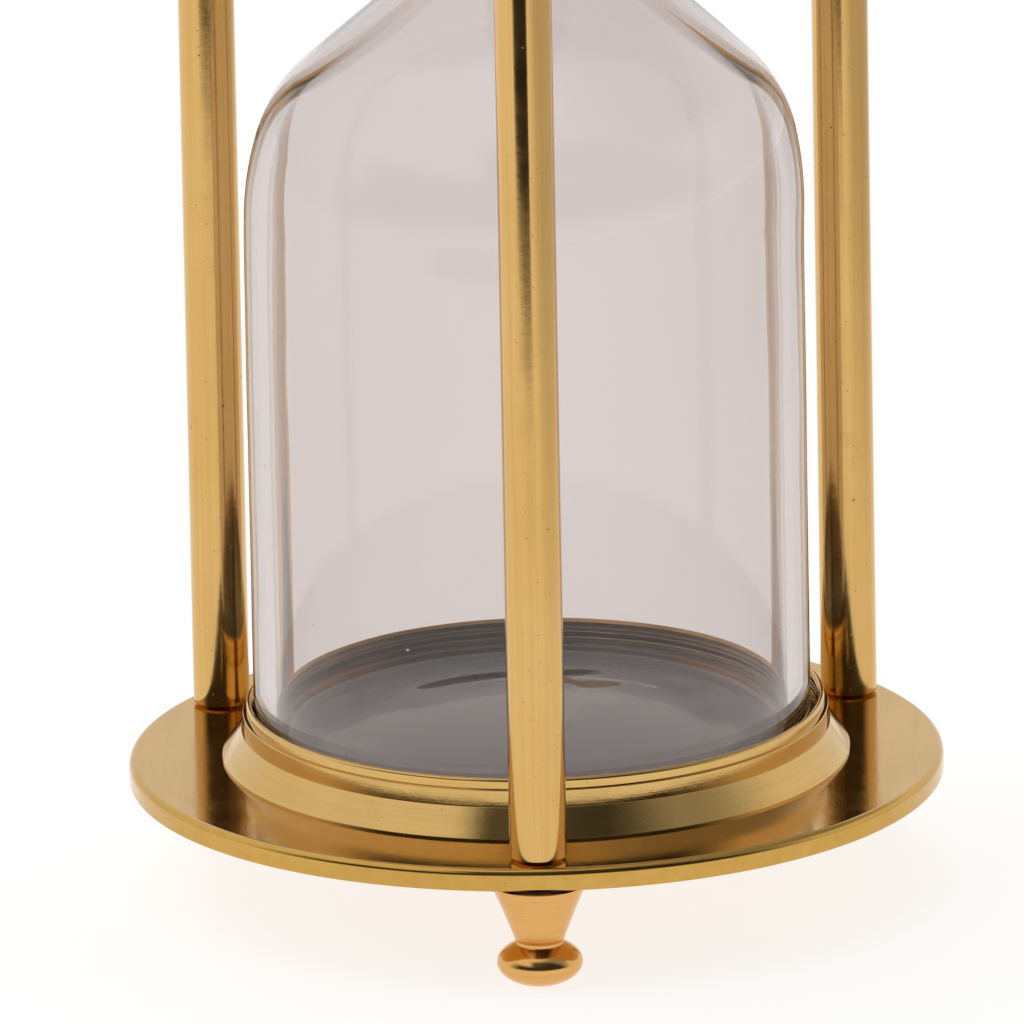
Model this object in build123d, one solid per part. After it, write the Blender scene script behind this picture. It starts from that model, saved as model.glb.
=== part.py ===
from build123d import *
import math
import os

os.makedirs("parts", exist_ok=True)

# Hourglass in a three-pillar brass frame. Millimetres, +Z up.
# Origin: on the central axis, at the plane the three feet stand on.
# The front pillar stands on -Y, the other two at 120 degrees either side of it.

# ---- driving dimensions ----
overall_h = 304.8  # feet to finial tips
plate_r = 57.0
plate_t = 3.2
plate_top_round = 1.0  # soft edge on the face that looks at the glass
plate_foot_round = 0.4
pillar_circle_r = 51.1
pillar_r = 3.95
pillar_chamfer = 0.45
pillar_angles = {"front": -90.0, "right": 30.0, "left": 150.0}

stud_r = 2.0  # M4, pitch 0.7
stud_in_pillar = 10.0
stud_in_foot = 6.5
stud_fit = 0.02  # tight in the tapped pillar
turn_fit = 0.05  # radial gap where a foot or washer turns on its stud

washer_r = 6.0
washer_t = 0.3

foot_h = 14.4
foot_top_r = 6.75
foot_waist_r = 5.0  # a third of the way down, the cone is slightly hollow
foot_waist_z = 4.0
foot_neck_r = 3.4
foot_neck_z = 8.2
bead_r = 5.94
bead_half_h = 3.29
bead_z = 11.4
foot_bore_depth = 7.2

collar_skirt_r = 43.9
collar_skirt_edge = 0.3
collar_skirt_top_r = 41.2
collar_step_z = 4.1
collar_band_r = 40.95
collar_band_z = 6.45
collar_lip_r = 40.45
collar_h = 7.95
collar_bore_r = 39.5

pad_r = 35.0
pad_t = 1.0
seat_gap = 0.05  # glass to pad

glass_r = 38.95
glass_wall = 3.15
glass_base_t = 2.6
glass_corner = 5.0
glass_inner_corner = 1.8
glass_punt = 1.2  # the base is pushed up a little in the middle
shoulder_soft_r = 45.0
shoulder_soft_deg = 14.6
shoulder_r = 19.6
shoulder_deg = 47.9
neck_round = 25.6
neck_r = 5.2
neck_bore_r = 1.25
fill_hole_r = 4.0

sand_gap = 0.05
sand_depth = 86.0  # above the neck
sand_dish = 3.0  # the surface sinks a little towards the middle
sand_start = 6.0

# ---- heights that follow from them ----
under_z = foot_h + washer_t  # underside of the bottom plate
floor_z = under_z + plate_t  # top of the bottom plate
mid_z = overall_h / 2
ceil_z = overall_h - floor_z
half_h = mid_z - floor_z


# ---- helpers ----
def turned(outline):
    """Solid of revolution from edges drawn in (radius, height)."""
    return revolve(Plane.XZ * make_face(outline), Axis.Z, 360)


def polygon(*points):
    """Closed outline through (radius, height) points."""
    return Polyline(*points, close=True).edges()


def flipped(shape):
    """The same piece at the other end of the hourglass."""
    return mirror(shape, Plane.XY.offset(mid_z))


def at_pillar(shape, name):
    """Moves a piece from the central axis to a pillar's axis."""
    a = math.radians(pillar_angles[name])
    x = pillar_circle_r * math.cos(a)
    y = pillar_circle_r * math.sin(a)
    return Pos(x, y, 0) * shape


def bore(radius, z0, z1):
    """A round hole's tool body on the central axis."""
    height = z1 - z0
    return Pos(0, 0, z0 + height / 2) * Cylinder(radius, height)


# ---- brass frame ----
def make_plate():
    """Bottom plate, with clearance holes for the studs."""
    disc = Pos(0, 0, under_z + plate_t / 2) * Cylinder(plate_r, plate_t)
    top = disc.edges().sort_by(Axis.Z)[-1]
    disc = fillet(top, plate_top_round)
    low = disc.edges().sort_by(Axis.Z)[0]
    disc = fillet(low, plate_foot_round)
    for name in pillar_angles:
        disc -= at_pillar(bore(stud_r + 0.2, under_z - 1, floor_z + 1), name)
    return disc


def make_pillar():
    """Plain rod with small end chamfers and a blind hole at each end."""
    c = pillar_chamfer
    r = pillar_r
    rod = turned(
        polygon(
            (0, floor_z),
            (r - c, floor_z),
            (r, floor_z + c),
            (r, ceil_z - c),
            (r - c, ceil_z),
            (0, ceil_z),
        )
    )
    deep = stud_in_pillar + 1.5
    rod -= bore(stud_r + stud_fit, floor_z - 1, floor_z + deep)
    rod -= bore(stud_r + stud_fit, ceil_z - deep, ceil_z + 1)
    return rod


def make_stud():
    """Stud from inside the foot, through the plate, into the pillar."""
    z0 = foot_h - stud_in_foot
    z1 = floor_z + stud_in_pillar
    c = 0.4
    r = stud_r
    return turned(
        polygon((0, z0), (r - c, z0), (r, z0 + c), (r, z1 - c), (r - c, z1), (0, z1))
    )


def make_washer():
    """Thin washer between the foot and the plate."""
    ri = stud_r + turn_fit
    z0 = foot_h
    z1 = foot_h + washer_t
    return turned(polygon((ri, z0), (washer_r, z0), (washer_r, z1), (ri, z1)))


def make_foot():
    """Turned foot: hollow cone, narrow neck, flattened bead with a flat underside."""
    neck_z = foot_h - foot_neck_z
    cone = [
        Line((0, foot_h), (foot_top_r - 0.15, foot_h)),
        Line((foot_top_r - 0.15, foot_h), (foot_top_r, foot_h - 0.15)),
        Spline(
            (foot_top_r, foot_h - 0.15),
            (foot_waist_r, foot_h - foot_waist_z),
            (foot_neck_r, neck_z),
        ),
        Line((foot_neck_r, neck_z), (foot_neck_r, neck_z - 1.4)),
        Line((foot_neck_r, neck_z - 1.4), (0, neck_z - 1.4)),
        Line((0, neck_z - 1.4), (0, foot_h)),
    ]
    body = turned(cone)
    centre = foot_h - bead_z
    oval = Pos(0, centre) * Ellipse(bead_r, bead_half_h)
    # keeps the half on the positive radius side and above the standing plane
    keep = Pos(bead_r, foot_h / 2) * Rectangle(2 * bead_r, foot_h)
    body += revolve(Plane.XZ * (oval & keep), Axis.Z, 360)
    body -= bore(stud_r + turn_fit, foot_h - foot_bore_depth, foot_h + 1)
    return body


def make_collar():
    """Seat ring: conical skirt, small step, upright band, thinner lip."""
    z = floor_z
    lip = collar_lip_r
    outline = [
        (collar_bore_r, z),
        (collar_skirt_r - 0.15, z),
        (collar_skirt_r, z + 0.15),
        (collar_skirt_r, z + collar_skirt_edge),
        (collar_skirt_top_r + 0.1, z + collar_step_z - 0.12),
        (collar_skirt_top_r, z + collar_step_z),
        (collar_band_r, z + collar_step_z),
        (collar_band_r, z + collar_band_z - 0.1),
        (collar_band_r - 0.1, z + collar_band_z),
        (lip, z + collar_band_z),
    ]
    top = z + collar_h
    low = [Line(a, b) for a, b in zip(outline, outline[1:])]
    low.append(Line((lip, z + collar_band_z), (lip, top - 0.5)))
    low.append(RadiusArc((lip, top - 0.5), (lip - 0.5, top), -0.5))
    low.append(Line((lip - 0.5, top), (collar_bore_r + 0.2, top)))
    low.append(RadiusArc((collar_bore_r + 0.2, top), (collar_bore_r, top - 0.2), -0.2))
    low.append(Line((collar_bore_r, top - 0.2), (collar_bore_r, z)))
    return turned(low)


def make_pad():
    """Soft disc that the glass stands on, inside the collar."""
    r = pad_r
    z0 = floor_z
    z1 = floor_z + pad_t
    return turned(
        polygon((0, z0), (r, z0), (r, z1 - 0.2), (r - 0.2, z1), (0, z1))
    )


# ---- glass ----
def bulb_edges(inset, z_base, corner, base_sink, throat):
    """Half profile of the lower bulb, from the axis at the base to the neck.

    inset moves the wall inwards, throat is the radius at the neck."""
    soft = math.radians(shoulder_soft_deg)
    steep = math.radians(shoulder_deg)
    a = glass_r - inset
    # outer surface at the neck fixes the cone, the inner cone is parallel to it
    reach = neck_r * math.cos(steep) + mid_z * math.sin(steep)
    reach -= neck_round * (1 - math.cos(steep))
    line = reach - inset
    ra = shoulder_soft_r - inset
    rb = shoulder_r - inset
    # shoulder centres: soft arc on the wall's end, tight arc inside it
    ca_r = glass_r - shoulder_soft_r
    cb_r = ca_r + (shoulder_soft_r - shoulder_r) * math.cos(soft)
    cb_z = (reach - shoulder_r - cb_r * math.cos(steep)) / math.sin(steep)
    ca_z = cb_z - (shoulder_soft_r - shoulder_r) * math.sin(soft)
    rn = throat * math.cos(steep) + mid_z * math.sin(steep) - line
    rn /= 1 - math.cos(steep)
    cn_r = throat + rn

    def on(cr, cz, r, ang):
        return (cr + r * math.cos(ang), cz + r * math.sin(ang))

    p_wall = (a, ca_z)
    p_soft = on(ca_r, ca_z, ra, soft)
    p_steep = on(cb_r, cb_z, rb, steep)
    p_cone = (cn_r - rn * math.cos(steep), mid_z - rn * math.sin(steep))
    p_neck = (throat, mid_z)
    q = a - corner
    half = math.radians(45)
    return [
        Spline(
            (0, z_base + base_sink),
            (q * 0.5, z_base + base_sink * 0.62),
            (q, z_base),
            tangents=[(1, 0), (1, 0)],
        ),
        ThreePointArc(
            (q, z_base), on(q, z_base + corner, corner, -half), (a, z_base + corner)
        ),
        Line((a, z_base + corner), p_wall),
        ThreePointArc(p_wall, on(ca_r, ca_z, ra, soft / 2), p_soft),
        ThreePointArc(p_soft, on(cb_r, cb_z, rb, (soft + steep) / 2), p_steep),
        Line(p_steep, p_cone),
        ThreePointArc(p_cone, on(cn_r, mid_z, -rn, steep / 2), p_neck),
    ]


def bulb_pair(inset, z_base, corner, base_sink, throat):
    """Solid body under the profile of both bulbs, in one piece."""
    low = bulb_edges(inset, z_base, corner, base_sink, throat)
    # the upper bulb is the lower one turned over about the neck
    turn = Location((0, 2 * mid_z, 0), (180, 0, 0))
    high = [edge.moved(turn) for edge in low]
    axis = Line((0, z_base + base_sink), (0, 2 * mid_z - z_base - base_sink))
    return turned(low + high + [axis])


def make_hollow(extra):
    """The room inside both bulbs; extra shrinks it all round."""
    base = floor_z + pad_t + seat_gap + glass_base_t + extra
    inset = glass_wall + extra
    return bulb_pair(inset, base, glass_inner_corner, glass_punt, neck_bore_r - extra)


def make_vessel():
    """One-piece glass: two bulbs joined at the neck, filling hole on top."""
    base = floor_z + pad_t + seat_gap
    outer = bulb_pair(0, base, glass_corner, glass_punt, neck_r)
    top = overall_h - base
    return outer - make_hollow(0) - bore(fill_hole_r, top - 8, top + 1)


def make_plug():
    """Stopper in the filling hole, below the rim of the glass base."""
    top = overall_h - (floor_z + pad_t + seat_gap + glass_punt) - 0.1
    low = top - glass_base_t - 1.0
    r = fill_hole_r - 0.02
    return turned(polygon((0, low), (r - 0.4, low), (r, low + 0.4), (r, top), (0, top)))


def make_sand():
    """Sand charge resting in the upper bulb."""
    room = make_hollow(sand_gap)
    level = mid_z + sand_depth
    edge_r = glass_r
    cut = [
        Line((0, mid_z + sand_start), (edge_r, mid_z + sand_start)),
        Line((edge_r, mid_z + sand_start), (edge_r, level)),
        Spline((edge_r, level), (edge_r / 2, level - sand_dish * 0.6), (0, level - sand_dish)),
        Line((0, level - sand_dish), (0, mid_z + sand_start)),
    ]
    return room & turned(cut)


# ---- write every node ----
collar = make_collar()
pad = make_pad()
plate = make_plate()
pillar = make_pillar()
foot = make_foot()
stud = make_stud()
washer = make_washer()

nodes = {
    "bottom_plate": plate,
    "top_plate": flipped(plate),
    "lower_collar": collar,
    "upper_collar": flipped(collar),
    "lower_pad": pad,
    "upper_pad": flipped(pad),
    "glass_vessel": make_vessel(),
    "fill_plug": make_plug(),
    "sand": make_sand(),
}
for side in pillar_angles:
    nodes["pillar_" + side] = at_pillar(pillar, side)
    nodes["foot_" + side] = at_pillar(foot, side)
    nodes["finial_" + side] = flipped(at_pillar(foot, side))
    nodes["stud_bottom_" + side] = at_pillar(stud, side)
    nodes["stud_top_" + side] = flipped(at_pillar(stud, side))
    nodes["washer_bottom_" + side] = at_pillar(washer, side)
    nodes["washer_top_" + side] = flipped(at_pillar(washer, side))

for name, shape in nodes.items():
    export_step(shape, "parts/" + name + ".step")
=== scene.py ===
import math

import bmesh
import bpy
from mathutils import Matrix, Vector, noise


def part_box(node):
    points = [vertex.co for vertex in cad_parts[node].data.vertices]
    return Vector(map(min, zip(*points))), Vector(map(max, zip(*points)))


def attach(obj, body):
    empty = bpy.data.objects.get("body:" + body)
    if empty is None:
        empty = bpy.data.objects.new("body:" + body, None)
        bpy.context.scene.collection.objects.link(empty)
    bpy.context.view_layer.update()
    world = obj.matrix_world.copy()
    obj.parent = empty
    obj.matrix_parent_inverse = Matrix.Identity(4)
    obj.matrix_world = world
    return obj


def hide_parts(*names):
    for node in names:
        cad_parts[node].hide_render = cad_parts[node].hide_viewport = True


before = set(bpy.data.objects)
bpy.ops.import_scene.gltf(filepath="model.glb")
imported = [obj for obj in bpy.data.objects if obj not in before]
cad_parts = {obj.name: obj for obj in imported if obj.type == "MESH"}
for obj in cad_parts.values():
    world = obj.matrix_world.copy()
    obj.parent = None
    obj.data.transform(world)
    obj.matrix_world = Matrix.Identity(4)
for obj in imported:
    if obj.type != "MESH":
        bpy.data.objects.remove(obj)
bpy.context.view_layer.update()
MM = 0.001

# ---------------------------------------------------------------- dimensions as in the CAD, millimetres

PLATE_R, PLATE_T, PLATE_INNER_ROUND, PLATE_OUTER_ROUND = 57.0, 3.2, 1.0, 0.4
FOOT_H, WASHER_T = 14.4, 0.3
OVERALL_H = 304.8
FLOOR_Z = FOOT_H + WASHER_T + PLATE_T
MID_Z = OVERALL_H / 2
PILLAR_CIRCLE = 51.1
SIDES = {"front": -90, "right": 30, "left": 150}
STUD_R, STUD_PITCH, STUD_THREAD = 2.0, 0.7, 0.38
STUD_BORE_R, STUD_CHAMFER = 2.05, 0.5
COLLAR_H, COLLAR_BORE_R, COLLAR_LIP_R = 7.95, 39.5, 40.45
COLLAR_BAND_R, COLLAR_BAND_TOP, COLLAR_STEP_Z = 40.95, 6.45, 4.1
SKIRT_R, SKIRT_TOP_R, SKIRT_EDGE = 43.9, 41.2, 0.3

GLASS_R, GLASS_WALL, GLASS_BASE = 38.95, 3.15, 2.6
GLASS_CORNER, GLASS_INNER_CORNER, GLASS_PUNT = 5.0, 1.8, 1.2
SOFT_R, SOFT_DEG, SHOULDER_R, SHOULDER_DEG = 45.0, 14.6, 19.6, 47.9
NECK_ROUND, NECK_R, NECK_BORE_R = 25.6, 5.2, 1.25
FILL_HOLE_R = 4.0
PAD_T, SEAT_GAP = 1.0, 0.05
SAND_START, SAND_DEPTH, SAND_DISH, SAND_GAP = 6.0, 86.0, 3.0, 0.12

# ---------------------------------------------------------------- details beyond the CAD, millimetres

# the collar bore: its chamfer (width, height), and turned grooves (height, depth)
BORE_CHAMFER, GROOVE_TOP = (0.35, 0.40), 0.10
BORE_GROOVES = [
    (6.85, 0.10), (6.2, 0.12), (5.5, 0.34), (4.85, 0.10),
    (4.4, 0.12), (3.85, 0.36), (3.1, 0.12), (2.4, 0.10),
]
# turning marks on a foot: (distance below the plate, width, depth)
FOOT_MARKS = [(1.35, 0.16, 0.045), (3.7, 0.14, 0.035), (4.2, 0.10, 0.02), (5.3, 0.10, 0.015)]
# the blown glass: how far its seat and its neck are out of line, the heights between which the
# line bends, and how uneven its walls are
SEAT_SHIFT, NECK_SHIFT, BEND_FROM, BEND_BACK, WALL_WAVE = -0.45, 1.9, 88, 60, 0.045
# inside the base: swirl, ridge and the rise towards the wall
BASE_SWIRL, BASE_RIDGE, RIDGE_R, RIDGE_WIDTH = 0.16, 0.34, 25.0, 2.6
BASE_RISE, RISE_FROM_R, RISE_TO_R = 1.2, 22.0, 34.0

# ---------------------------------------------------------------- mesh helpers


def add_object(name, verts, faces):
    mesh = bpy.data.meshes.new(name)
    mesh.from_pydata(verts, [], faces)
    mesh.update()
    obj = bpy.data.objects.new(name, mesh)
    bpy.context.scene.collection.objects.link(obj)
    return obj


def arc(centre, r, start, end, steps):
    """Points of an arc in the profile plane, angles in degrees."""
    out = []
    for k in range(steps + 1):
        a = math.radians(start + (end - start) * k / steps)
        out.append((centre[0] + r * math.cos(a), centre[1] + r * math.sin(a)))
    return out


def rounded(points, steps):
    """Closed outline of (r, z) or (r, z, radius) corners; a radius rounds the corner."""
    out = []
    for i, p in enumerate(points):
        rad = p[2] if len(p) > 2 else 0
        if not rad:
            out.append((p[0], p[1]))
            continue
        here = Vector(p[:2])
        a = (Vector(points[i - 1][:2]) - here).normalized()
        b = (Vector(points[(i + 1) % len(points)][:2]) - here).normalized()
        half = a.angle(b) / 2
        start, end = here + a * rad / math.tan(half), here + b * rad / math.tan(half)
        centre = here + (a + b).normalized() * rad / math.sin(half)
        u, v = start - centre, end - centre
        span = u.angle(v)
        for k in range(steps + 1):
            t = k / steps
            w = (u * math.sin((1 - t) * span) + v * math.sin(t * span)) / math.sin(span)
            out.append(tuple(centre + w))
    return out


def lathe(name, profile, segments, centre=(0, 0), closed=False, shape=None, up=1, base=0):
    """Turns a profile of (r, z) in millimetres about a vertical axis.

    Points on the axis become poles. shape(r, z, angle) may bend the surface and returns
    (x, y, z) in millimetres. up and base place the profile: z becomes base + up * z."""
    verts, rings = [], []

    def put(x, y, z):
        verts.append(((centre[0] + x) * MM, (centre[1] + y) * MM, (base + up * z) * MM))
        return len(verts) - 1

    for r, z in profile:
        count = 1 if r < 1e-9 else segments
        ring = []
        for k in range(count):
            a = 2 * math.pi * k / segments
            x, y, zz = shape(r, z, a) if shape else (r * math.cos(a), r * math.sin(a), z)
            ring.append(put(x, y, zz))
        rings.append(ring)
    pairs = list(zip(rings, rings[1:]))
    if closed:
        pairs.append((rings[-1], rings[0]))
    faces = []
    for low, high in pairs:
        if len(low) == 1 and len(high) == 1:
            continue
        for k in range(segments):
            n = (k + 1) % segments
            if len(low) == 1:
                faces.append((low[0], high[n], high[k]))
            elif len(high) == 1:
                faces.append((low[k], low[n], high[0]))
            else:
                faces.append((low[k], low[n], high[n], high[k]))
    obj = add_object(name, verts, faces)
    work = bmesh.new()
    work.from_mesh(obj.data)
    bmesh.ops.recalc_face_normals(work, faces=work.faces)
    work.to_mesh(obj.data)
    work.free()
    return obj


def finish_surface(obj, angle, weighted=True):
    """Smooth shading with crisp edges; wide faces keep their own normals."""
    mesh = obj.data
    mesh.polygons.foreach_set("use_smooth", [True] * len(mesh.polygons))
    mesh.set_sharp_from_angle(angle=math.radians(angle))
    if weighted:
        mod = obj.modifiers.new("even_normals", "WEIGHTED_NORMAL")
        mod.keep_sharp = True
        mod.weight = 60
    mesh.update()


def stand_for(piece, node, body, look):
    """The piece takes the place, body and finish of a CAD node."""
    piece.data.materials.clear()
    piece.data.materials.append(look)
    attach(piece, body)
    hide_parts(node)


def at_side(side):
    a = math.radians(SIDES[side])
    return (PILLAR_CIRCLE * math.cos(a), PILLAR_CIRCLE * math.sin(a))


# ---------------------------------------------------------------- materials


class Nodes:
    """Short calls for the nodes that the finishes and the room share."""

    def __init__(self, tree, coords):
        self.tree = tree
        self.coords = tree.nodes.new("ShaderNodeTexCoord").outputs[coords]

    def link(self, source, target):
        self.tree.links.new(source, target)

    def stretch(self, scale):
        made = self.tree.nodes.new("ShaderNodeMapping")
        made.inputs["Scale"].default_value = scale
        self.link(self.coords, made.inputs["Vector"])
        return made.outputs["Vector"]

    def noise(self, scale, detail=4.0, rough=0.55, where=None, distort=0.0):
        made = self.tree.nodes.new("ShaderNodeTexNoise")
        made.inputs["Scale"].default_value = scale
        made.inputs["Detail"].default_value = detail
        made.inputs["Roughness"].default_value = rough
        made.inputs["Distortion"].default_value = distort
        self.link(where or self.coords, made.inputs["Vector"])
        return made.outputs["Fac"]

    def remap(self, value, low, high, to_low=0.0, to_high=1.0, soft=False):
        made = self.tree.nodes.new("ShaderNodeMapRange")
        made.interpolation_type = "SMOOTHSTEP" if soft else "LINEAR"
        for key, number in (
            ("From Min", low), ("From Max", high), ("To Min", to_low), ("To Max", to_high),
        ):
            made.inputs[key].default_value = number
        self.link(value, made.inputs["Value"])
        return made.outputs["Result"]

    def math(self, kind, a, b=None):
        made = self.tree.nodes.new("ShaderNodeMath")
        made.operation = kind
        for socket, item in zip(made.inputs, (a, b)):
            if isinstance(item, (int, float)):
                socket.default_value = item
            elif item is not None:
                self.link(item, socket)
        return made.outputs[0]

    def mix(self, fac, a, b):
        made = self.tree.nodes.new("ShaderNodeMix")
        made.data_type = "RGBA"
        sockets = [s for s in made.inputs if s.enabled]
        for socket, item in zip(sockets, (fac, a, b)):
            if isinstance(item, (int, float)):
                socket.default_value = item
            elif isinstance(item, tuple):
                socket.default_value = tuple(item) + (1.0,)
            else:
                self.link(item, socket)
        return next(s for s in made.outputs if s.enabled)

    def specks(self, scale, size, share):
        """Mask of small round pits: a share of the cells holds one."""
        made = self.tree.nodes.new("ShaderNodeTexVoronoi")
        made.inputs["Scale"].default_value = scale
        self.link(self.coords, made.inputs["Vector"])
        near = self.remap(made.outputs["Distance"], size, size * 0.45, soft=True)
        split = self.tree.nodes.new("ShaderNodeSeparateColor")
        self.link(made.outputs["Color"], split.inputs["Color"])
        chosen = self.math("GREATER_THAN", split.outputs["Red"], 1.0 - share)
        return self.math("MULTIPLY", near, chosen)

    def bump(self, height, distance, strength=1.0, after=None):
        made = self.tree.nodes.new("ShaderNodeBump")
        made.inputs["Distance"].default_value = distance
        made.inputs["Strength"].default_value = strength
        self.link(height, made.inputs["Height"])
        if after:
            self.link(after, made.inputs["Normal"])
        return made.outputs["Normal"]


class Look(Nodes):
    """One node material around the Principled shader."""

    def __init__(self, name):
        self.mat = bpy.data.materials.new(name)
        self.mat.use_nodes = True
        super().__init__(self.mat.node_tree, "Object")
        self.shader = self.tree.nodes["Principled BSDF"]

    def set(self, **values):
        for key, value in values.items():
            self.shader.inputs[key.replace("_", " ")].default_value = value


def brass(name, colour, rough, grain, wear, pit_share):
    """Polished and lacquered brass: clouded tone, fine polishing lines, pits and tarnish."""
    look = Look(name)
    look.set(Metallic=1.0)
    brown = tuple(c * k for c, k in zip(colour, (0.80, 0.70, 0.55)))
    pale = tuple(min(1, c * k) for c, k in zip(colour, (1.05, 1.07, 1.16)))
    cloud = look.remap(look.noise(34.0, 5.0, 0.62), 0.34, 0.70, soft=True)
    tone = look.mix(cloud, colour, pale)
    stain = look.remap(look.noise(95.0, 6.0, 0.7, distort=0.8), 0.60, 0.78, 0.0, wear, soft=True)
    tone = look.mix(stain, tone, brown)
    streaks = look.noise(1.0, 4.0, 0.65, where=look.stretch(grain))
    streaks = look.remap(streaks, 0.36, 0.66, 0.0, 0.22, soft=True)
    tone = look.mix(streaks, tone, brown)
    pits = look.specks(420.0, 0.10, pit_share * 0.5)
    fine_pits = look.specks(1300.0, 0.17, pit_share)
    marks = look.math("MAXIMUM", look.math("MULTIPLY", pits, 0.7), look.math("MULTIPLY", fine_pits, 0.5))
    tone = look.mix(marks, tone, (0.22, 0.11, 0.035))
    look.link(tone, look.shader.inputs["Base Color"])
    lines = look.noise(1.0, 3.0, 0.6, where=look.stretch(grain))
    smear = look.noise(120.0, 4.0, 0.6)
    gloss = look.remap(smear, 0.3, 0.75, rough * 0.7, rough * 1.5)
    gloss = look.math("ADD", gloss, look.math("MULTIPLY", stain, 0.10))
    gloss = look.math("ADD", gloss, look.math("MULTIPLY", marks, 0.35))
    look.link(gloss, look.shader.inputs["Roughness"])
    normal = look.bump(lines, 0.000008, 0.5)
    orange_peel = look.noise(900.0, 3.0, 0.6)
    normal = look.bump(orange_peel, 0.000010, 0.8, after=normal)
    normal = look.bump(look.math("SUBTRACT", 1.0, marks), 0.00005, 0.5, after=normal)
    look.link(normal, look.shader.inputs["Normal"])
    return look.mat


def make_glass():
    """Thick clear glass: faintly warm in depth, with soft waves and a few seeds."""
    look = Look("glass_look")
    look.set(Transmission_Weight=1.0, IOR=1.46, Roughness=0.0)
    film = look.remap(look.noise(26.0, 4.0, 0.6), 0.3, 0.8, soft=True)
    tint = look.mix(film, (0.925, 0.903, 0.897), (0.910, 0.888, 0.882))
    look.link(tint, look.shader.inputs["Base Color"])
    seeds = look.specks(230.0, 0.07, 0.10)
    waves = look.noise(30.0, 2.0, 0.4, where=look.stretch((1.0, 1.0, 0.35)))
    normal = look.bump(waves, 0.00010, 0.25)
    normal = look.bump(seeds, 0.00006, 0.5, after=normal)
    look.link(normal, look.shader.inputs["Normal"])
    body = look.tree.nodes.new("ShaderNodeVolumeAbsorption")
    body.inputs["Color"].default_value = (0.40, 0.22, 0.16, 1)
    body.inputs["Density"].default_value = 60.0
    look.link(body.outputs["Volume"], look.tree.nodes["Material Output"].inputs["Volume"])
    return look.mat


def grainy(name, dark, light, rough, scale, bump=0.0002, speck=None):
    """A dull finish made of grains or fibres, some of them another colour where speck is given."""
    look = Look(name)
    grain = look.noise(scale, 6.0, 0.7)
    wide = look.remap(look.noise(scale * 0.06, 3.0, 0.5), 0.3, 0.7, 0.25, 0.75)
    amount = look.math("MULTIPLY", look.math("ADD", look.remap(grain, 0.3, 0.7), wide), 0.6)
    tone = look.mix(amount, dark, light)
    if speck:
        tone = look.mix(look.specks(scale * 0.9, 0.35, 0.10), tone, speck)
    look.link(tone, look.shader.inputs["Base Color"])
    dullness = look.remap(grain, 0.2, 0.8, rough * 0.85, min(1.0, rough * 1.1))
    look.link(dullness, look.shader.inputs["Roughness"])
    look.link(look.bump(grain, bump, 0.7), look.shader.inputs["Normal"])
    return look.mat


# the polishing lines run where the grain's scale is small: along Y on the plates, upright on the
# pillars, and round the turned pieces
plate_look = brass("plate_brass_look", (0.585, 0.345, 0.080), 0.13, (500, 40, 500), 0.35, 0.05)
pillar_look = brass("pillar_brass_look", (0.675, 0.415, 0.138), 0.125, (1500, 1500, 14), 0.45, 0.20)
collar_look = brass("collar_brass_look", (0.655, 0.42, 0.142), 0.11, (60, 60, 2600), 0.35, 0.05)
finial_look = brass("finial_brass_look", (0.74, 0.41, 0.13), 0.12, (60, 60, 3600), 0.30, 0.04)
stud_look = brass("stud_brass_look", (0.50, 0.34, 0.14), 0.22, (900, 900, 900), 0.6, 0.08)
# the washers are near black and make the thin dark line between each foot and its plate
near_black_washer_look = grainy("near_black_washer_look", (0.018, 0.008, 0.005), (0.045, 0.022, 0.014), 0.75, 2600.0)
felt_look = grainy("felt_look", (0.078, 0.068, 0.070), (0.135, 0.118, 0.118), 0.95, 3800.0, 0.0003)
rubber_look = grainy("rubber_look", (0.42, 0.36, 0.28), (0.56, 0.49, 0.40), 0.6, 900.0, 0.00005)
sand_look = grainy(
    "sand_look", (0.78, 0.59, 0.36), (0.99, 0.87, 0.64), 0.95, 2400.0, 0.0005, speck=(0.42, 0.26, 0.13)
)
glass_look = make_glass()

carried = {
    "pillar": pillar_look,
    "washer": near_black_washer_look,
    "pad": felt_look,
    "fill_plug": rubber_look,
}
for name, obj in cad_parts.items():
    for key, look in carried.items():
        if key in name:
            obj.data.materials.clear()
            obj.data.materials.append(look)

# ---------------------------------------------------------------- brass plates and collars


def turned_bore(r, top):
    """The bore of a collar from its top edge down: chamfer, then shallow turned grooves."""
    width, height = BORE_CHAMFER
    out = [(r + width, top), (r, top - height)]
    for z, depth in BORE_GROOVES:
        out += [(r, z + GROOVE_TOP), (r + depth, z), (r, z - depth)]
    return out


COLLAR = rounded(
    [
        (COLLAR_BORE_R, 0),
        (SKIRT_R, 0),
        (SKIRT_R, SKIRT_EDGE, 0.12),
        (SKIRT_TOP_R, COLLAR_STEP_Z, 0.12),
        (COLLAR_BAND_R, COLLAR_STEP_Z),
        (COLLAR_BAND_R, COLLAR_BAND_TOP, 0.12),
        (COLLAR_LIP_R, COLLAR_BAND_TOP + 0.1),
        (COLLAR_LIP_R, COLLAR_H, 0.45),
    ]
    + turned_bore(COLLAR_BORE_R, COLLAR_H),
    8,
)


def drill_hole(disc, centre, low, high, up, base):
    """Cuts one round hole through the disc."""
    rod = [(0, low), (STUD_BORE_R, low), (STUD_BORE_R, high), (0, high)]
    drill = lathe("drill", rod, centre=centre, segments=48, up=up, base=base)
    cut = disc.modifiers.new("hole", "BOOLEAN")
    cut.operation = "DIFFERENCE"
    cut.object = drill
    cut.solver = "EXACT"
    depsgraph = bpy.context.evaluated_depsgraph_get()
    mesh = bpy.data.meshes.new_from_object(disc.evaluated_get(depsgraph))
    disc.modifiers.remove(cut)
    disc.data = mesh
    bpy.data.objects.remove(drill)


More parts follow.
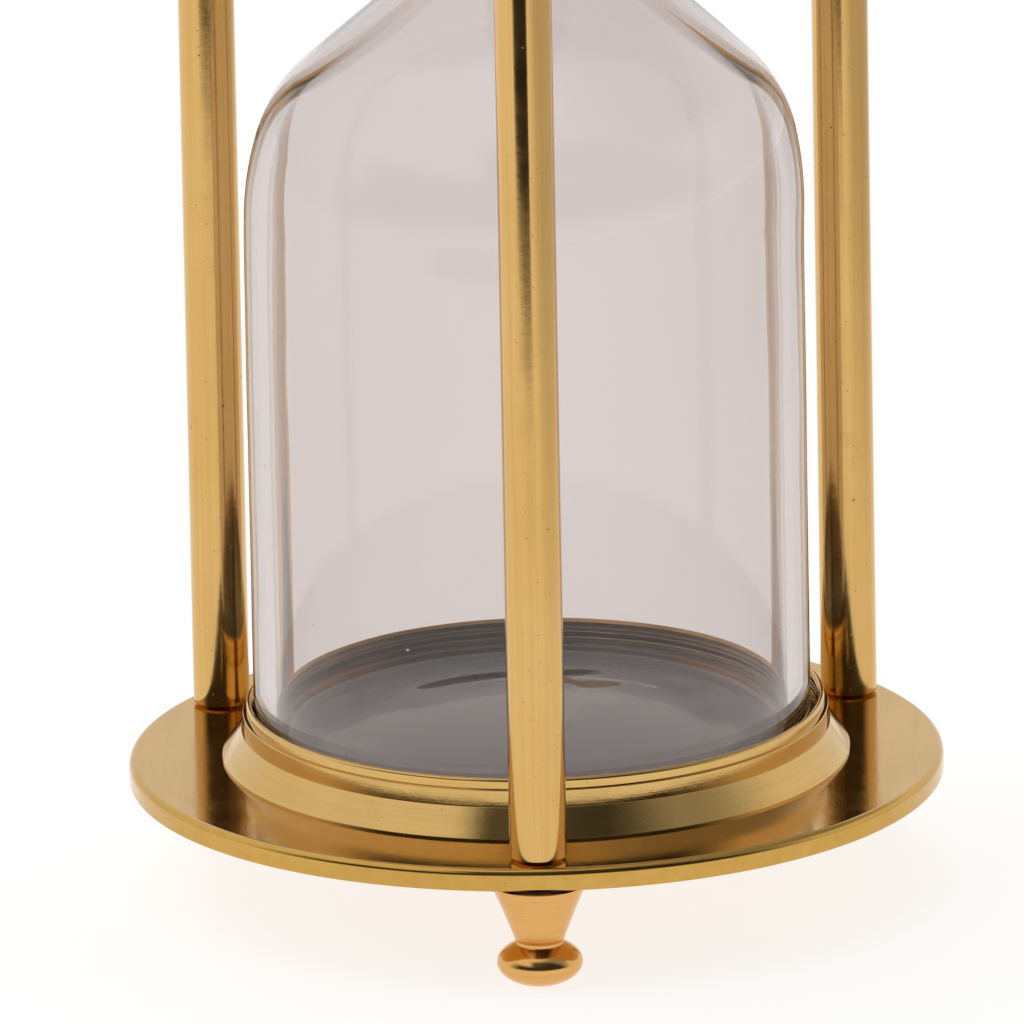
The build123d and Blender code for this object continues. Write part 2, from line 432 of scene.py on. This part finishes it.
for end, base, up in (("lower", FLOOR_Z, 1), ("upper", OVERALL_H - FLOOR_Z, -1)):
    ring = lathe(end + "_collar_ring", COLLAR, segments=384, closed=True, up=up, base=base)
    finish_surface(ring, 28)
    stand_for(ring, end + "_collar", "frame", collar_look)

PLATE = rounded(
    [
        (0, 0),
        (PLATE_R, 0, PLATE_OUTER_ROUND),
        (PLATE_R, PLATE_T, PLATE_INNER_ROUND),
        (0, PLATE_T),
    ],
    10,
)

for end, base, up in (("bottom", FLOOR_Z - PLATE_T, 1), ("top", OVERALL_H - FLOOR_Z + PLATE_T, -1)):
    disc = lathe(end + "_plate_disc", PLATE, segments=384, up=up, base=base)
    for side in SIDES:
        drill_hole(disc, at_side(side), -2, PLATE_T + 2, up, base)
    finish_surface(disc, 40)
    stand_for(disc, end + "_plate", "frame", plate_look)

# ---------------------------------------------------------------- feet and finials

# the cone from the plate down to the neck above the bead: (radius, distance below the plate)
CONE = [(6.75, 0.0), (6.57, 0.4), (5.84, 2.0), (5.0, 4.0), (4.26, 5.9), (3.68, 7.4), (3.4, 8.2)]
CONE_EDGE_ROUND, CONE_ROWS, BEAD_ROWS = 0.25, 90, 60
BEAD_R, BEAD_HALF, BEAD_DOWN, REST_R = 5.94, 3.29, 11.4, 2.4
FOOT_BORE = 7.2


def cone_radius(down):
    for (r0, d0), (r1, d1) in zip(CONE, CONE[1:]):
        if down <= d1:
            return r0 + (r1 - r0) * (down - d0) / (d1 - d0)
    return CONE[-1][0]


def foot_profile():
    """Radius and distance below the plate, from the bore's end round the outside to the axis."""
    neck_r, neck_down = CONE[-1]
    out = [(0, FOOT_BORE), (STUD_BORE_R, FOOT_BORE), (STUD_BORE_R, 0)]
    for k in range(CONE_ROWS + 1):
        down = neck_down * k / CONE_ROWS
        r = cone_radius(down)
        for mark, width, depth in FOOT_MARKS:
            r -= depth * math.exp(-(((down - mark) / width) ** 2))
        # fine feed lines of the tool
        r += 0.006 * math.sin(down * 21.0) + 0.004 * math.sin(down * 47.0 + 1.0)
        if down < CONE_EDGE_ROUND:
            r -= CONE_EDGE_ROUND - math.sqrt(
                max(0.0, CONE_EDGE_ROUND**2 - (CONE_EDGE_ROUND - down) ** 2)
            )
        out.append((r, down))
    join_r = neck_r - 0.03
    out.append((join_r, neck_down + 0.1))
    # the bead is an ellipse, cut flat where the foot rests
    join, flat = math.acos(join_r / BEAD_R), math.acos(REST_R / BEAD_R)
    for k in range(BEAD_ROWS):
        a = join - (join + flat) * k / BEAD_ROWS
        out.append((BEAD_R * math.cos(a), BEAD_DOWN - BEAD_HALF * math.sin(a)))
    return out + [(REST_R, FOOT_H), (0, FOOT_H)]


FOOT = foot_profile()
for side in SIDES:
    for kind, base, up in (("foot", FOOT_H, -1), ("finial", OVERALL_H - FOOT_H, 1)):
        node = kind + "_" + side
        knob = lathe(node + "_turned", FOOT, centre=at_side(side), segments=96, up=up, base=base)
        finish_surface(knob, 35, weighted=False)
        stand_for(knob, node, node, finial_look)

# ---------------------------------------------------------------- threaded studs


def stud(node, side):
    """A rod with a real screw thread, chamfered at both ends."""
    low, high = (corner.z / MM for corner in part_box(node))
    rows = int((high - low) / (STUD_PITCH / 8))
    profile = [(0, low)]
    for k in range(rows + 1):
        profile.append((STUD_R, low + (high - low) * k / rows))
    profile.append((0, high))

    def thread(r, z, a):
        if r > 0:
            turn = (z / STUD_PITCH - a / (2 * math.pi)) % 1.0
            depth = abs(turn - 0.5) * 2
            r -= STUD_THREAD * min(1.0, max(0.0, depth * 1.25 - 0.12))
            r = min(r, STUD_R - max(0.0, STUD_CHAMFER - min(z - low, high - z)))
        return r * math.cos(a), r * math.sin(a), z

    rod = lathe(node + "_threaded", profile, centre=at_side(side), segments=40, shape=thread)
    finish_surface(rod, 50, weighted=False)
    stand_for(rod, node, "frame", stud_look)


for side in SIDES:
    for end in ("bottom", "top"):
        stud("stud_" + end + "_" + side, side)

# ---------------------------------------------------------------- glass and sand

INNER_R = GLASS_R - GLASS_WALL
BASE_Z = FLOOR_Z + PAD_T + SEAT_GAP
INNER_BASE = BASE_Z + GLASS_BASE
BASE_ROWS, WALL_ROWS, FUNNEL_ROWS, SAND_TOP_ROWS = 28, 34, 12, 60


def bulb_profile(inset, z_base, corner, sink, throat):
    """Half profile of the lower bulb, from the axis at its base to the neck.

    The wall stands inset inside the outer face; sink is how far the base is pushed up, and
    throat is the radius at the neck. Base, wall, two shoulder arcs, funnel and neck arc follow."""
    soft, steep = math.radians(SOFT_DEG), math.radians(SHOULDER_DEG)
    wall = GLASS_R - inset
    # how far the funnel's straight line lies from the axis at z = 0, measured square to it
    reach = NECK_R * math.cos(steep) + MID_Z * math.sin(steep)
    reach -= NECK_ROUND * (1 - math.cos(steep))
    line = reach - inset
    soft_r, tight_r = SOFT_R - inset, SHOULDER_R - inset
    ca_r = GLASS_R - SOFT_R
    cb_r = ca_r + (SOFT_R - SHOULDER_R) * math.cos(soft)
    cb_z = (reach - SHOULDER_R - cb_r * math.cos(steep)) / math.sin(steep)
    ca_z = cb_z - (SOFT_R - SHOULDER_R) * math.sin(soft)
    neck = (throat * math.cos(steep) + MID_Z * math.sin(steep) - line) / (1 - math.cos(steep))
    flat = wall - corner
    corner_z = z_base + corner
    out = []
    for k in range(BASE_ROWS):
        t = k / BASE_ROWS
        out.append((flat * t, z_base + sink * (1 - t * t) ** 2))
    out += arc((flat, corner_z), corner, -90, 0, 10)
    for k in range(1, WALL_ROWS):
        out.append((wall, corner_z + (ca_z - corner_z) * k / WALL_ROWS))
    out += arc((ca_r, ca_z), soft_r, 0, SOFT_DEG, 10)
    out += arc((cb_r, cb_z), tight_r, SOFT_DEG, SHOULDER_DEG, 15)[1:]
    start = out[-1]
    end = (throat + neck - neck * math.cos(steep), MID_Z - neck * math.sin(steep))
    for k in range(1, FUNNEL_ROWS):
        t = k / FUNNEL_ROWS
        out.append((start[0] + (end[0] - start[0]) * t, start[1] + (end[1] - start[1]) * t))
    out += arc((throat + neck, MID_Z), neck, 180 + SHOULDER_DEG, 180, 15)
    return out


def ease(x, low, high):
    t = min(1.0, max(0.0, (x - low) / (high - low)))
    return t * t * (3 - 2 * t)


def blown(z):
    """Sideways drift of the glass-blower's axis: the glass is not quite true."""
    rise = ease(z, BEND_FROM, MID_Z) * (1 - ease(z, MID_Z, OVERALL_H - BEND_FROM))
    low_part = 1 - ease(z, MID_Z, OVERALL_H - BEND_BACK)
    return SEAT_SHIFT * low_part * (1 - rise) + NECK_SHIFT * rise


def uneven(z, a, amount):
    """Slow waves in the wall, up and around."""
    p = Vector((math.cos(a) * 1.3, math.sin(a) * 1.3, z * 0.022))
    return amount * noise.noise(p * 1.6) + amount * 0.3 * noise.noise(p * 4.0 + Vector((5, 1, 2)))


def base_inside(r, z, a):
    """How much higher the inside of the lower base lies than the true profile."""
    rise = 0.0
    if INNER_BASE <= z <= INNER_BASE + GLASS_INNER_CORNER:
        # the base thickens towards the wall
        t = max(0.0, (min(r, RISE_TO_R) - RISE_FROM_R) / (RISE_TO_R - RISE_FROM_R))
        rise += BASE_RISE * t**2 * (1 - (z - INNER_BASE) / GLASS_INNER_CORNER)
    if r < INNER_R and INNER_BASE - 0.01 <= z <= INNER_BASE + GLASS_PUNT + 0.01:
        # swirls and a ridge left by the blowing
        p = Vector((r * math.cos(a) * 0.055, r * math.sin(a) * 0.055, 3.0))
        swirl = noise.noise(p * 1.3) * 0.8 + noise.noise(p * 2.6 + Vector((3, 7, 1))) * 0.35
        from_ridge = r - RIDGE_R - 2.5 * math.sin(2 * a + 0.6)
        ridge = math.exp(-((from_ridge / RIDGE_WIDTH) ** 2))
        around = noise.noise(Vector((math.cos(a), math.sin(a), 9)) * 1.7)
        edge = ease(INNER_R - r, 0.5, 5.0)
        rise += edge * (BASE_SWIRL * swirl + BASE_RIDGE * ridge * (0.35 + 0.9 * around))
    return rise


outer = bulb_profile(0, BASE_Z, GLASS_CORNER, GLASS_PUNT, NECK_R)
inner = bulb_profile(GLASS_WALL, INNER_BASE, GLASS_INNER_CORNER, GLASS_PUNT, NECK_BORE_R)


def turned_over(points):
    return [(r, OVERALL_H - z) for r, z in reversed(points)]


def to_hole(points):
    """Upper half of a profile, stopped at the filling hole."""
    kept = [p for p in turned_over(points) if p[0] > FILL_HOLE_R]
    return kept + [(FILL_HOLE_R, kept[-1][1])]


outside = outer + to_hole(outer)[1:]
inside = inner + to_hole(inner)[1:]
glass_profile = outside + list(reversed(inside))


def glass_shape(r, z, a):
    """Bends the true profile into slightly irregular blown glass."""
    low_end = ease(z, BASE_Z + 6, BASE_Z + 24)
    high_end = ease(OVERALL_H - z, BASE_Z + 6, BASE_Z + 24)
    body = ease(r, 4.0, 22.0) * low_end * high_end
    rr = r + uneven(z, a, WALL_WAVE) * body
    zz = z + base_inside(r, z, a) if r <= INNER_R else z
    return rr * math.cos(a) + blown(z), rr * math.sin(a), zz


vessel = lathe("glass_vessel_blown", glass_profile, segments=192, shape=glass_shape)
finish_surface(vessel, 60, weighted=False)
stand_for(vessel, "glass_vessel", "glass", glass_look)

# the sand fills the upper bulb from just above the neck, and its top lies uneven
room = bulb_profile(
    GLASS_WALL + SAND_GAP, INNER_BASE + SAND_GAP, GLASS_INNER_CORNER, GLASS_PUNT, NECK_BORE_R - SAND_GAP
)
sand_low, sand_top = MID_Z + SAND_START, MID_Z + SAND_DEPTH
wall_points = [p for p in turned_over(room) if sand_low < p[1] < sand_top]
low_r, edge_r = wall_points[0][0], wall_points[-1][0]
sand_profile = [(0, sand_low), (low_r * 0.6, sand_low)] + wall_points
for k in range(1, SAND_TOP_ROWS + 1):
    t = 1 - k / SAND_TOP_ROWS
    sand_profile.append((edge_r * t, sand_top - SAND_DISH * (1 - t * t) ** 1.3))


def sand_shape(r, z, a):
    """Ripples the top, and keeps the side clear of the uneven glass."""
    if z > sand_top - SAND_DISH - 0.01 and r < edge_r - 0.3:
        p = Vector((r * math.cos(a), r * math.sin(a), 4.0))
        ripple = 0.35 * noise.noise(p * 0.16) + 0.16 * noise.noise(p * 0.7) + 0.10 * noise.noise(p * 1.9)
        return r * math.cos(a) + blown(z), r * math.sin(a), z + ripple
    wall = max(0.0, r - 0.05 - 0.25 * ease(r, 3, 30))
    return wall * math.cos(a) + blown(z), wall * math.sin(a), z


sand = lathe("sand_charge", sand_profile, segments=180, shape=sand_shape)
finish_surface(sand, 50, weighted=False)
stand_for(sand, "sand", "glass", sand_look)

# ---------------------------------------------------------------- stage and light

# in metres from here on
FLOOR_HALF, CARD_LIFT = 8.0, 0.001


def flat_card(name, corners):
    return add_object(name, corners, [(0, 1, 2, 3)])


def light_floor():
    """A pale floor that glows, like a light table."""
    half = FLOOR_HALF
    floor = flat_card("floor", [(-half, -half, 0), (half, -half, 0), (half, half, 0), (-half, half, 0)])
    white = Look("floor_look")
    tone = white.mix(white.noise(9.0, 2.0), (0.41, 0.41, 0.41), (0.43, 0.43, 0.43))
    white.link(tone, white.shader.inputs["Base Color"])
    white.set(
        Roughness=0.9, Specular_IOR_Level=0.0, Emission_Color=(1, 1, 1, 1), Emission_Strength=0.78
    )
    floor.data.materials.append(white.mat)


def only_in_mirrors(name, corners):
    """A card lying on the floor that takes light away from reflections and nothing else."""
    card = flat_card(name, corners)
    look = Look(name + "_look")
    look.set(Roughness=1.0, Specular_IOR_Level=0.0, Base_Color=(0.035, 0.027, 0.028, 1))
    card.data.materials.append(look.mat)
    for ray in ("camera", "diffuse", "transmission", "volume_scatter", "shadow"):
        setattr(card, "visible_" + ray, False)
    apart = look.tree.nodes.new("ShaderNodeSeparateXYZ")
    look.link(look.coords, apart.inputs["Vector"])
    return look, apart.outputs


def dark_flag():
    """A dark wedge lying on the floor in front, seen only in reflections and soft at its edges: a
    painted dark reflection that gives the brass its dark bands.

    left and right are the slopes of its sides, as seen from the axis."""
    left, right = math.tan(math.radians(-43.0)), math.tan(math.radians(14.0))
    start, near, fade, far = 0.30, 0.335, 0.11, 3.2
    corners = [
        (slope * depth, -depth, CARD_LIFT)
        for slope, depth in ((left, start), (right, start), (right, far), (left, far))
    ]
    dark, at = only_in_mirrors("flag", corners)
    depth = dark.math("MULTIPLY", at["Y"], -1.0)
    slope = dark.math("DIVIDE", at["X"], depth)
    past_near = dark.remap(depth, near, near + fade, soft=True)
    from_left = dark.remap(slope, left, left + 0.30, soft=True)
    from_right = dark.remap(slope, right, right - 0.09, soft=True)
    cover = dark.math("MULTIPLY", dark.math("MULTIPLY", past_near, from_left), from_right)
    dark.link(cover, dark.shader.inputs["Alpha"])


def dim_right_side():
    """Reflections on the right are dimmer."""
    left, right, front, back, lift = 0.06, 4, -3, 1.5, 2 * CARD_LIFT
    corners = [(left, front, lift), (right, front, lift), (right, back, lift), (left, back, lift)]
    dim, at = only_in_mirrors("dim_side", corners)
    dim.link(dim.remap(at["X"], 0.07, 0.42, 0.0, 0.38, soft=True), dim.shader.inputs["Alpha"])


def soft_room():
    """A light tent: bright all round and above, dark ahead of the object, dimmer at top right."""
    front_wall, back_wall, left_top, right_top, horizon, under = 0.045, 0.92, 0.95, 0.36, 0.80, 0.95
    world = bpy.data.worlds.new("soft_room")
    bpy.context.scene.world = world
    world.use_nodes = True
    room = Nodes(world.node_tree, "Generated")
    split = room.tree.nodes.new("ShaderNodeSeparateXYZ")
    room.link(room.coords, split.inputs["Vector"])
    x, y, z = split.outputs
    walls = room.remap(y, -0.55, 0.10, front_wall, back_wall, soft=True)
    glow = room.remap(z, 0.16, 0.0, 0.0, horizon, soft=True)
    walls = room.math("MAXIMUM", walls, glow)
    top = room.remap(x, -0.10, 0.40, left_top, right_top, soft=True)
    ahead = room.remap(y, -0.28, -0.55, soft=True)
    beside = room.remap(x, -0.42, -0.24, soft=True)
    shade = room.math("MULTIPLY", room.math("MULTIPLY", ahead, beside), 0.88)
    top = room.math("MULTIPLY", top, room.math("SUBTRACT", 1.0, shade))
    sky = room.mix(room.remap(z, 0.42, 0.70, soft=True), walls, top)
    below = room.remap(z, -0.03, 0.0, 1.0, 0.0)
    sky = room.mix(below, sky, (under, under, under))
    background = room.tree.nodes["Background"]
    room.link(sky, background.inputs["Color"])
    background.inputs["Strength"].default_value = 1.0


light_floor()
dark_flag()
dim_right_side()
soft_room()

# ---------------------------------------------------------------- camera

ELEVATION, ROLL = math.radians(16.9), math.radians(-1.05)
DISTANCE, AIM_UP, AIM_LEFT, LENS = 2.85, 0.0332, 0.0034, 716.0


def place_camera():
    """A far camera with a long lens, a little above the object and tilted sideways as in the photo."""
    seat = Vector((0, 0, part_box("bottom_plate")[1].z))
    eye = seat + DISTANCE * Vector((0, -math.cos(ELEVATION), math.sin(ELEVATION)))
    right = Vector((1, 0, 0))
    up = right.cross(seat - eye).normalized()
    turned_right = math.cos(ROLL) * right + math.sin(ROLL) * up
    turned_up = math.cos(ROLL) * up - math.sin(ROLL) * right
    aim = seat + AIM_UP * turned_up - AIM_LEFT * turned_right
    camera = bpy.data.objects.new("camera", bpy.data.cameras.new("camera"))
    bpy.context.scene.collection.objects.link(camera)
    camera.location = eye
    camera.rotation_euler = (aim - eye).to_track_quat("-Z", "Y").to_euler()
    camera.rotation_euler.rotate_axis("Z", ROLL)
    camera.data.lens = LENS
    camera.data.sensor_width = 36.0
    camera.data.clip_end = 50.0
    bpy.context.scene.camera = camera
    bpy.context.scene.view_settings.view_transform = "Standard"


place_camera()
